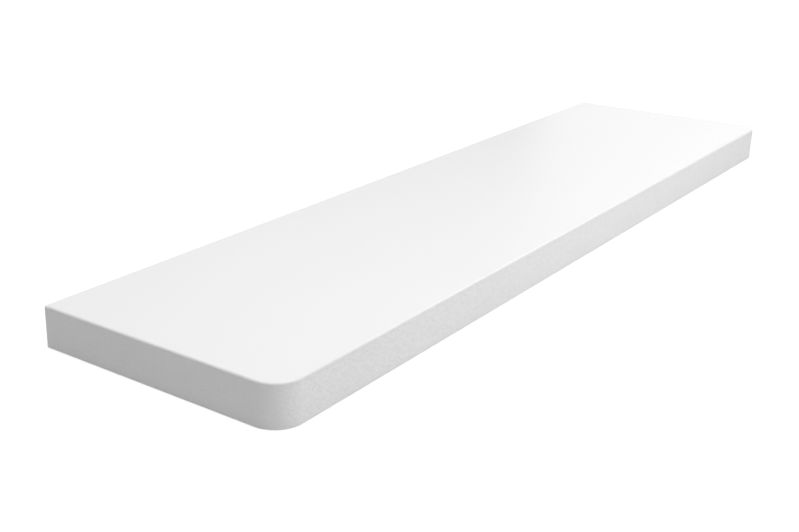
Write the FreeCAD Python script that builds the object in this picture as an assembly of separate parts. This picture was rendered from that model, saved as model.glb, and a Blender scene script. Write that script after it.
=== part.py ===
"""Interior window sill board, cut and milled from one flat board.

The board lies flat. X runs along its length, Y from the room (front, minus) to the window
(back, plus) and Z up. The origin is the centre of the underside.

The two front corners are rounded in plan. The upper edge is rounded over along both ends and
the front, following the corners, and it runs out at the square back edge, which stands against
the window frame. The lower edge of the same three sides is only eased.
"""

import FreeCAD
import Part

import os

# Driving dimensions in millimetres
LENGTH = 800.0
DEPTH = 200.0
THICKNESS = 30.0
FRONT_CORNER_RADIUS = 20.0
UPPER_EDGE_RADIUS = 1.5
LOWER_EDGE_RADIUS = 0.5

# Faces of the board that follow from its size
LEFT = -LENGTH / 2
RIGHT = LENGTH / 2
FRONT = -DEPTH / 2
BACK = DEPTH / 2
UNDERSIDE = 0.0
TOP = UNDERSIDE + THICKNESS

COS_45 = 0.5 ** 0.5
TOUCH = 1e-6


def at(x, y):
    """A point of the plan, on the underside."""
    return FreeCAD.Vector(x, y, UNDERSIDE)


def front_corner(end, inward):
    """Plan arc of one front corner, from the end of the board to its front."""
    centre_x = end + inward * FRONT_CORNER_RADIUS
    centre_y = FRONT + FRONT_CORNER_RADIUS
    middle = FRONT_CORNER_RADIUS * COS_45
    on_end = at(end, centre_y)
    on_arc = at(centre_x - inward * middle, centre_y - middle)
    on_front = at(centre_x, FRONT)
    return Part.Arc(on_end, on_arc, on_front).toShape()


def plan_outline():
    """Closed plan outline: square at the back, rounded at the two front corners."""
    left_corner = front_corner(LEFT, inward=1)
    right_corner = front_corner(RIGHT, inward=-1)
    corner_y = FRONT + FRONT_CORNER_RADIUS
    left_end = Part.LineSegment(at(LEFT, BACK), at(LEFT, corner_y)).toShape()
    front = Part.LineSegment(
        at(LEFT + FRONT_CORNER_RADIUS, FRONT), at(RIGHT - FRONT_CORNER_RADIUS, FRONT)
    ).toShape()
    right_end = Part.LineSegment(at(RIGHT, corner_y), at(RIGHT, BACK)).toShape()
    back = Part.LineSegment(at(RIGHT, BACK), at(LEFT, BACK)).toShape()
    return Part.Wire(Part.__sortEdges__([left_end, left_corner, front, right_corner, right_end, back]))


def worked_edges(board, height):
    """Edges of the ends, corners and front that lie at one height; the back edge is left out."""
    found = []
    for edge in board.Edges:
        box = edge.BoundBox
        level = abs(box.ZMin - height) < TOUCH and abs(box.ZMax - height) < TOUCH
        along_back = box.YMin > BACK - TOUCH
        if level and not along_back:
            found.append(edge)
    return found


def sill_board():
    """The board: plan outline raised to its thickness, then its upper and lower edges worked."""
    blank = Part.Face(plan_outline()).extrude(FreeCAD.Vector(0, 0, THICKNESS))
    rounded = blank.makeFillet(UPPER_EDGE_RADIUS, worked_edges(blank, TOP))
    return rounded.makeFillet(LOWER_EDGE_RADIUS, worked_edges(rounded, UNDERSIDE))


def main():
    os.makedirs("parts", exist_ok=True)
    sill_board().exportStep("parts/sill_board.step")


main()
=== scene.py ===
"""Looks of a window sill board: satin white lacquer on a milled board that lies on a pale floor.

Lengths are metres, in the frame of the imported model: X runs along the board, -Y points to its
front, Z is up, and the underside lies at zero, just above the floor.
"""

import math

import bmesh
import bpy
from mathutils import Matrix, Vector


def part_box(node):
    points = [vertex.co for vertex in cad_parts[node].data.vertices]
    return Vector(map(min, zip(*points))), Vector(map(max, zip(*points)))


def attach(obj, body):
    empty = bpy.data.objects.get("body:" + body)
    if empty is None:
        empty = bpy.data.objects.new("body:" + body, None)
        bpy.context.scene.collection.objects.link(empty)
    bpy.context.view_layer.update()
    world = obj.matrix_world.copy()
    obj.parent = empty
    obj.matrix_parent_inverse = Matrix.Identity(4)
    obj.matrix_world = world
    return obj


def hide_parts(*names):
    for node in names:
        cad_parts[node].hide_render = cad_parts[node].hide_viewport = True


NODE = "sill_board"
PIECE = "board"
BODY = "root"
SLOT = "white_lacquer"

# The board's worked edges
CORNER_RADIUS = 0.020
UPPER_EDGE_RADIUS = 0.0015
LOWER_EDGE_RADIUS = 0.0005
BACK_EDGE_EASING = 0.0003
EASED_FROM_ANGLE = math.radians(60)

# How finely the mesh follows the board
STRAIGHT_STEP = 0.010
CORNER_STEPS = 32
UPPER_EDGE_STEPS = 12
LOWER_EDGE_STEPS = 4
SIDE_STEPS = 4
EASING_STEPS = 2
MERGE_DISTANCE = 1e-6
LARGE_FACE_WEIGHT = 100

# Directions in degrees: outward in plan, then in the section of an edge
LEFTWARD, FRONTWARD, RIGHTWARD = 180, 270, 360
UPWARD, OUTWARD, DOWNWARD = 90, 0, -90

# The photograph's width and its camera, in pixels where on the picture; the sensor is in millimetres
IMAGE_WIDTH = 799
SENSOR_WIDTH = 36.0
FOCAL_PIXELS = 1171.7
VIEW_CENTRE_X = 299.1
CAMERA_PLACE = Vector((-0.85505, -0.47423, 0.31932))
CAMERA_AZIMUTH = math.radians(51.598)
CAMERA_ELEVATION = math.radians(20.144)
CAMERA_RANGE = (0.01, 100.0)

# White satin lacquer: size and fineness of each noise, how densely the grain lies along each axis
# and how much of it is fibre
PEEL_GRAIN, PEEL_DETAIL = 0.0021, 2.0
FIBRE_GRAIN, FIBRE_DETAIL = 0.0008, 1.0
CLOUD_GRAIN, CLOUD_DETAIL = 0.12, 3.0
GRAIN_DENSITY = (0.65, 1.0, 1.25)
FIBRE_SHARE = 0.35

# Height of the relief on the flat faces and on the upright ones, and where the grain shows: by the
# upright part of the normal, then by the square of its part across the board, with less on the ends
FACE_RELIEF = 1.5e-6
EDGE_RELIEF = 430e-6
FULL_GRAIN_LEVEL = 0.15
NO_GRAIN_LEVEL = 0.95
END_GRAIN = 0.55
LONG_SIDE_SPREAD = (0.6, 0.97)

# Tones of the lacquer, each with the spread of the noise that sets it, and its gloss
CLOUD_SPREAD = (0.3, 0.7)
CLOUD_TONES = (0.855, 0.865)
# The mottle on the edges follows the height of the grain relief: darker in its hollows and lighter on its
# crests. It is partly random tone and partly painted shade and painted light of the relief.
MOTTLE_AND_SHADE_SPREAD = (0.42, 0.93)
MOTTLE_AND_SHADE_TONES = (0.964, 1.036)
# Pores are dark dots in the colour with no pit in the mesh or the relief: painted shade of pits.
PORE_SPACING = 0.004
PORE_SPREAD = (0.05, 0.12)
PORE_SHADE_TONE = 0.94
FACE_ROUGHNESS = (0.28, 0.31)
EDGE_DULLNESS = 0.08
LACQUER_IOR = 1.5

# Floor: its colour for the light that it throws back, then its colour and lift as they are seen.
# The lift grows to white between two distances from the middle of the board.
FLOOR_SIZE = 12.0
FLOOR_DROP = 0.0002
FLOOR_COLOUR = 0.68
FLOOR_SEEN_COLOUR = 0.5
FLOOR_LIFT = 0.65
FLOOR_WHITENS = (0.5, 1.3)

# Broad lights over the back: where each is strongest and its strength there, then how quickly
# they fall off around those places
SKY_LIGHTS = (
    ((0.0, 0.643, 0.766), 1.02),
    ((0.750, 0.433, 0.500), 0.438),
)
SKY_FOCUS = 6.0
WHITE = 1.0

# Soft lamps: name, place, the point on X that it faces, width, watts and whether gloss shows it
LAMPS = (
    ("over", (-0.46, -0.19, 1.26), -0.12, 1.10, 11.50, True),
    ("right", (1.20, -0.10, 0.90), 0.0, 0.80, 2.91, True),
    ("front_low", (0.18, -0.60, 0.30), 0.18, 0.90, 1.32, False),
    ("front_wide", (-0.10, -1.20, 0.25), -0.10, 1.60, 6.95, False),
    ("sheen", (2.135, 0.671, 0.243), 0.0, 0.63, 0.99, True),
)


def spaced(start, end, step):
    """Even values from start to end, about step apart, with both ends among them."""
    count = max(1, round(abs(end - start) / step))
    return [start + (end - start) * i / count for i in range(count + 1)]


def arc_angles(start, end, steps):
    """Even angles from start to end in degrees, returned in radians."""
    return [math.radians(start + (end - start) * i / steps) for i in range(steps + 1)]


class Plan:
    """Plan of the board: the rectangle that its corner arcs are centred on, and the outline round it."""

    def __init__(self, low, high):
        self.back = high.y
        self.columns = spaced(low.x + CORNER_RADIUS, high.x - CORNER_RADIUS, STRAIGHT_STEP)
        self.rows = spaced(low.y + CORNER_RADIUS, high.y, STRAIGHT_STEP)

    def stations(self):
        """(foot, outward) pairs from the back of the left end, round the front, to the back of the
        right end. A foot lies on the inner rectangle, a corner radius inside the outline."""
        first_column, last_column = self.columns[0], self.columns[-1]
        front_row = self.rows[0]
        left_corner = arc_angles(LEFTWARD, FRONTWARD, CORNER_STEPS)
        right_corner = arc_angles(FRONTWARD, RIGHTWARD, CORNER_STEPS)
        found = [((first_column, y), left_corner[0]) for y in reversed(self.rows[1:])]
        found += [((first_column, front_row), angle) for angle in left_corner]
        found += [((x, front_row), left_corner[-1]) for x in self.columns[1:-1]]
        found += [((last_column, front_row), angle) for angle in right_corner]
        found += [((last_column, y), right_corner[-1]) for y in self.rows[1:]]
        return [(Vector((*foot, 0)), Vector((math.cos(a), math.sin(a), 0))) for foot, a in found]


def section(thickness):
    """(reach, height) points of the board's edge, from its top to its underside. Reach is measured
    outward from the inner rectangle."""
    upper, lower = UPPER_EDGE_RADIUS, LOWER_EDGE_RADIUS
    points = [(0.0, thickness)]
    for a in arc_angles(UPWARD, OUTWARD, UPPER_EDGE_STEPS):
        points.append((
            CORNER_RADIUS - upper + upper * math.cos(a),
            thickness - upper + upper * math.sin(a),
        ))
    side = spaced(thickness - upper, lower, (thickness - upper - lower) / SIDE_STEPS)
    points += [(CORNER_RADIUS, z) for z in side[1:-1]]
    for a in arc_angles(OUTWARD, DOWNWARD, LOWER_EDGE_STEPS):
        points.append((
            CORNER_RADIUS - lower + lower * math.cos(a),
            lower + lower * math.sin(a),
        ))
    points.append((0.0, 0.0))
    return points


def add_face(bm, corners):
    """A face through these points, with its own vertices."""
    return bm.faces.new([bm.verts.new(c) for c in corners])


def add_edge_band(bm, stations, profile):
    """The band of top, edge and underside between the inner rectangle and the outline."""
    def place(station, point):
        foot, outward = station
        reach, height = point
        return foot + outward * reach + Vector((0, 0, height))

    for here, there in zip(stations, stations[1:]):
        same_foot = (here[0] - there[0]).length < MERGE_DISTANCE
        for above, below in zip(profile, profile[1:]):
            corners = [place(here, above), place(here, below), place(there, below), place(there, above)]
            if same_foot and above[0] == 0.0:
                corners.pop()
            if same_foot and below[0] == 0.0:
                corners.pop(2)
            add_face(bm, corners)


def add_inner_grid(bm, plan, height, faces_up):
    """The flat of the top or underside inside the inner rectangle."""
    for x0, x1 in zip(plan.columns, plan.columns[1:]):
        for y0, y1 in zip(plan.rows, plan.rows[1:]):
            corners = [Vector((x, y, height)) for x, y in ((x0, y0), (x1, y0), (x1, y1), (x0, y1))]
            add_face(bm, corners if faces_up else reversed(corners))


def add_back(bm, plan, profile, thickness):
    """The square back: upright strips, and at each end a face shaped like the board's section."""
    for x0, x1 in zip(plan.columns, plan.columns[1:]):
        corners = ((x1, 0), (x0, 0), (x0, thickness), (x1, thickness))
        add_face(bm, [Vector((x, plan.back, z)) for x, z in corners])
    first, last = plan.columns[0], plan.columns[-1]
    add_face(bm, [Vector((first - reach, plan.back, z)) for reach, z in reversed(profile)])
    add_face(bm, [Vector((last + reach, plan.back, z)) for reach, z in profile])


def mark_back_edges(bm, plan):
    """The back meets the other faces at a crisp edge."""
    def on_back(face):
        return all(v.co.y > plan.back - MERGE_DISTANCE for v in face.verts)

    for edge in bm.edges:
        sides = [on_back(face) for face in edge.link_faces]
        edge.smooth = len(set(sides)) == 1


def board_mesh(low, high):
    """The whole board as one closed mesh."""
    thickness = high.z - low.z
    plan = Plan(low, high)
    profile = section(thickness)
    bm = bmesh.new()
    add_edge_band(bm, plan.stations(), profile)
    add_inner_grid(bm, plan, thickness, faces_up=True)
    add_inner_grid(bm, plan, 0.0, faces_up=False)
    add_back(bm, plan, profile, thickness)
    bmesh.ops.remove_doubles(bm, verts=bm.verts, dist=MERGE_DISTANCE)
    bmesh.ops.recalc_face_normals(bm, faces=bm.faces)
    for face in bm.faces:
        face.smooth = True
    mark_back_edges(bm, plan)
    mesh = bpy.data.meshes.new(PIECE)
    bm.to_mesh(mesh)
    bm.free()
    return mesh


def add_board(low, high):
    """The visible board, in the place of its CAD node."""
    board = bpy.data.objects.new(PIECE, board_mesh(low, high))
    bpy.context.scene.collection.objects.link(board)
    easing = board.modifiers.new("back_edge_easing", "BEVEL")
    easing.width = BACK_EDGE_EASING
    easing.segments = EASING_STEPS
    easing.limit_method = "ANGLE"
    easing.angle_limit = EASED_FROM_ANGLE
    normals = board.modifiers.new("flat_normals", "WEIGHTED_NORMAL")
    normals.weight = LARGE_FACE_WEIGHT
    board.data.materials.append(lacquer())
    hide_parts(NODE)
    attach(board, BODY)


def add_node(tree, kind, inputs=None, **settings):
    """A new node of a material. An input is a value or another node's output."""
    node = tree.nodes.new(kind)
    for name, value in settings.items():
        setattr(node, name, value)
    for name, value in (inputs or {}).items():
        if isinstance(value, bpy.types.NodeSocket):
            tree.links.new(value, node.inputs[name])
        else:
            node.inputs[name].default_value = value
    return node


def noise(tree, place, grain, detail):
    """Noise whose spots are about grain metres across, from 0 to 1."""
    inputs = {"Vector": place, "Scale": 1 / grain, "Detail": detail}
    return add_node(tree, "ShaderNodeTexNoise", inputs).outputs["Fac"]


def pore_distance(tree, place):
    """Distance from the nearest of some sparse points, in shares of their spacing."""
    inputs = {"Vector": place, "Scale": 1 / PORE_SPACING}
    return add_node(tree, "ShaderNodeTexVoronoi", inputs).outputs["Distance"]


def remapped(tree, value, low, high, start=0.0, end=1.0, smooth=False):
    """Value from start to end, taken to low to high and kept between them."""
    inputs = {"Value": value, "From Min": start, "From Max": end, "To Min": low, "To Max": high}
    kind = "SMOOTHSTEP" if smooth else "LINEAR"
    return add_node(tree, "ShaderNodeMapRange", inputs, interpolation_type=kind).outputs["Result"]


def combined(tree, operation, first, second):
    """Two numbers joined by one operation."""
    node = add_node(tree, "ShaderNodeMath", {0: first, 1: second}, operation=operation)
    return node.outputs["Value"]


def edge_share(tree):
    """0 on the flat faces, 1 on the milled front and back, and less on the ends and round most of a
    corner. It changes over along the rounded edge."""
    normal = add_node(tree, "ShaderNodeNewGeometry").outputs["Normal"]
    parts = add_node(tree, "ShaderNodeSeparateXYZ", {"Vector": normal}).outputs
    level = combined(tree, "ABSOLUTE", parts["Z"], 0.0)
    share = remapped(tree, level, 1.0, 0.0, FULL_GRAIN_LEVEL, NO_GRAIN_LEVEL, smooth=True)
    long_side = combined(tree, "MULTIPLY", parts["Y"], parts["Y"])
    amount = remapped(tree, long_side, END_GRAIN, 1.0, *LONG_SIDE_SPREAD, smooth=True)
    return combined(tree, "MULTIPLY", share, amount)


def grain_relief(tree, place):
    """The fine grain of the milled board, drawn out along it."""
    drawn_out = add_node(tree, "ShaderNodeVectorMath", {0: place, 1: GRAIN_DENSITY}, operation="MULTIPLY")
    grain_place = drawn_out.outputs["Vector"]
    peel = noise(tree, grain_place, PEEL_GRAIN, PEEL_DETAIL)
    fibre = noise(tree, grain_place, FIBRE_GRAIN, FIBRE_DETAIL)
    return combined(tree, "ADD", peel, combined(tree, "MULTIPLY", fibre, FIBRE_SHARE))


def relief_normal(tree, relief, edge):
    """Normal of the relief, which is almost flat on the faces. Heights are metres."""
    depth = remapped(tree, edge, FACE_RELIEF, EDGE_RELIEF)
    height = combined(tree, "MULTIPLY", relief, depth)
    return add_node(tree, "ShaderNodeBump", {"Height": height, "Distance": 1.0}).outputs["Normal"]


def lacquer_tone(tree, place, cloud, relief, edge):
    """Slightly clouded white. On the edges it has mottling that is darker in the hollows of the grain and
    lighter on its crests, partly random tone and partly painted shade and painted light of the relief,
    and pores that are painted shade of pits.
    """
    tone = remapped(tree, cloud, *CLOUD_TONES, *CLOUD_SPREAD)
    # Darker in the relief's hollows and lighter on its crests: partly random tone, partly painted shade
    # and painted light.
    mottle_and_shade = remapped(tree, relief, *MOTTLE_AND_SHADE_TONES, *MOTTLE_AND_SHADE_SPREAD)
    # Dark dots where pores lie: painted shade of pits.
    pore_shade = remapped(tree, pore_distance(tree, place), PORE_SHADE_TONE, 1.0, *PORE_SPREAD)
    # On the edges the tone takes the mottle and the pores, with their painted shade and painted light.
    grain = remapped(tree, edge, 1.0, combined(tree, "MULTIPLY", mottle_and_shade, pore_shade))
    return combined(tree, "MULTIPLY", tone, grain)


def lacquer_roughness(tree, cloud, edge):
    """Satin that varies with the clouding and is duller on the edges."""
    satin = remapped(tree, cloud, *FACE_ROUGHNESS, *CLOUD_SPREAD)
    return combined(tree, "ADD", satin, combined(tree, "MULTIPLY", edge, EDGE_DULLNESS))


def lacquer():
    """White satin lacquer: smooth on the flat faces, with the fine grain of the milled board showing
    through on its edges, where the tone also carries painted shade in the grain's hollows and pores and
    painted light on its crests."""
    material = bpy.data.materials.new(SLOT)
    material.use_nodes = True
    tree = material.node_tree
    place = add_node(tree, "ShaderNodeTexCoord").outputs["Object"]
    edge = edge_share(tree)
    relief = grain_relief(tree, place)
    cloud = noise(tree, place, CLOUD_GRAIN, CLOUD_DETAIL)
    shader = tree.nodes["Principled BSDF"]
    shader.inputs["IOR"].default_value = LACQUER_IOR
    tree.links.new(lacquer_tone(tree, place, cloud, relief, edge), shader.inputs["Base Color"])
    tree.links.new(lacquer_roughness(tree, cloud, edge), shader.inputs["Roughness"])
    tree.links.new(relief_normal(tree, relief, edge), shader.inputs["Normal"])
    return material


def seen_directly(tree):
    """1 for rays from the camera, off a glossy surface or through a clear one, else 0."""
    path = add_node(tree, "ShaderNodeLightPath").outputs
    mirrored = combined(tree, "MAXIMUM", path["Is Glossy Ray"], path["Is Transmission Ray"])
    return combined(tree, "MAXIMUM", path["Is Camera Ray"], mirrored)


def floor_material():
    """Pale floor that looks white where nothing shades it."""
    material = bpy.data.materials.new("pale_floor")
    material.use_nodes = True
    tree = material.node_tree
    tree.nodes.clear()
    seen = seen_directly(tree)
    colour = remapped(tree, seen, FLOOR_COLOUR, FLOOR_SEEN_COLOUR)
    place = add_node(tree, "ShaderNodeTexCoord").outputs["Object"]
    away = add_node(tree, "ShaderNodeVectorMath", {0: place}, operation="LENGTH").outputs["Value"]
    lift = remapped(tree, away, FLOOR_LIFT, WHITE, *FLOOR_WHITENS, smooth=True)
    lift = combined(tree, "MULTIPLY", seen, lift)
    diffuse = add_node(tree, "ShaderNodeBsdfDiffuse", {"Color": colour})
    glow = add_node(tree, "ShaderNodeEmission", {"Strength": lift})
    total = add_node(tree, "ShaderNodeAddShader", {0: diffuse.outputs[0], 1: glow.outputs[0]})
    add_node(tree, "ShaderNodeOutputMaterial", {"Surface": total.outputs[0]})
    return material


def add_floor():
    """A plain floor just under the board."""
    mesh = bpy.data.meshes.new("floor")
    half = FLOOR_SIZE / 2
    corners = ((-half, -half), (half, -half), (half, half), (-half, half))
    mesh.from_pydata([(x, y, -FLOOR_DROP) for x, y in corners], [], [(0, 1, 2, 3)])
    mesh.materials.append(floor_material())
    floor = bpy.data.objects.new("floor", mesh)
    bpy.context.scene.collection.objects.link(floor)


def sky_light(tree, direction, source, strength):
    """Light that is strongest from one source and falls off smoothly around it."""
    inputs = {0: direction, 1: source}
    facing = add_node(tree, "ShaderNodeVectorMath", inputs, operation="DOT_PRODUCT").outputs["Value"]
    falloff = combined(tree, "POWER", combined(tree, "MAXIMUM", facing, 0.0), SKY_FOCUS)
    return combined(tree, "MULTIPLY", falloff, strength)


def set_world():
    """Broad lights over the back; white where the world is seen directly."""
    world = bpy.data.worlds.new("studio")
    bpy.context.scene.world = world
    world.use_nodes = True
    tree = world.node_tree
    direction = add_node(tree, "ShaderNodeTexCoord").outputs["Generated"]
    light = 0.0
    for source, strength in SKY_LIGHTS:
        light = combined(tree, "ADD", sky_light(tree, direction, source, strength), light)
    background = tree.nodes["Background"]
    background.inputs["Color"].default_value = (WHITE, WHITE, WHITE, 1.0)
    tree.links.new(remapped(tree, seen_directly(tree), light, WHITE), background.inputs["Strength"])


def add_lamp(name, place, facing_x, size, power, shows_in_gloss):
    """A square soft lamp that faces a point of the board's long axis."""
    data = bpy.data.lights.new(name, "AREA")
    data.shape = "SQUARE"
    data.size = size
    data.energy = power
    lamp = bpy.data.objects.new(name, data)
    lamp.location = place
    lamp.rotation_euler = (Vector((facing_x, 0, 0)) - lamp.location).to_track_quat("-Z", "Y").to_euler()
    lamp.visible_camera = False
    lamp.visible_glossy = shows_in_gloss
    bpy.context.scene.collection.objects.link(lamp)


def add_camera():
    """The photograph's view: level, with its centre of projection left of the middle."""
    data = bpy.data.cameras.new("photo_view")
    data.sensor_fit = "HORIZONTAL"
    data.sensor_width = SENSOR_WIDTH
    data.lens = FOCAL_PIXELS / IMAGE_WIDTH * SENSOR_WIDTH
    data.shift_x = 0.5 - VIEW_CENTRE_X / IMAGE_WIDTH
    data.clip_start, data.clip_end = CAMERA_RANGE
    camera = bpy.data.objects.new(data.name, data)
    camera.location = CAMERA_PLACE
    camera.rotation_euler = (math.pi / 2 - CAMERA_ELEVATION, 0, -CAMERA_AZIMUTH)
    bpy.context.scene.collection.objects.link(camera)
    bpy.context.scene.camera = camera


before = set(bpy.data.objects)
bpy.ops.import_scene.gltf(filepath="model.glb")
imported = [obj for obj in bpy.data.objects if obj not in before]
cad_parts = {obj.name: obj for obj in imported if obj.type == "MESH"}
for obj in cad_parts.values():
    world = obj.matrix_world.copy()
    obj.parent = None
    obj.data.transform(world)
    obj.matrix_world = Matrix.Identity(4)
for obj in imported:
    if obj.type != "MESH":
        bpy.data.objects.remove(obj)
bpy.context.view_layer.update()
bpy.context.scene.view_settings.view_transform = "Standard"
add_board(*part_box(NODE))
add_floor()
set_world()
for lamp in LAMPS:
    add_lamp(*lamp)
add_camera()
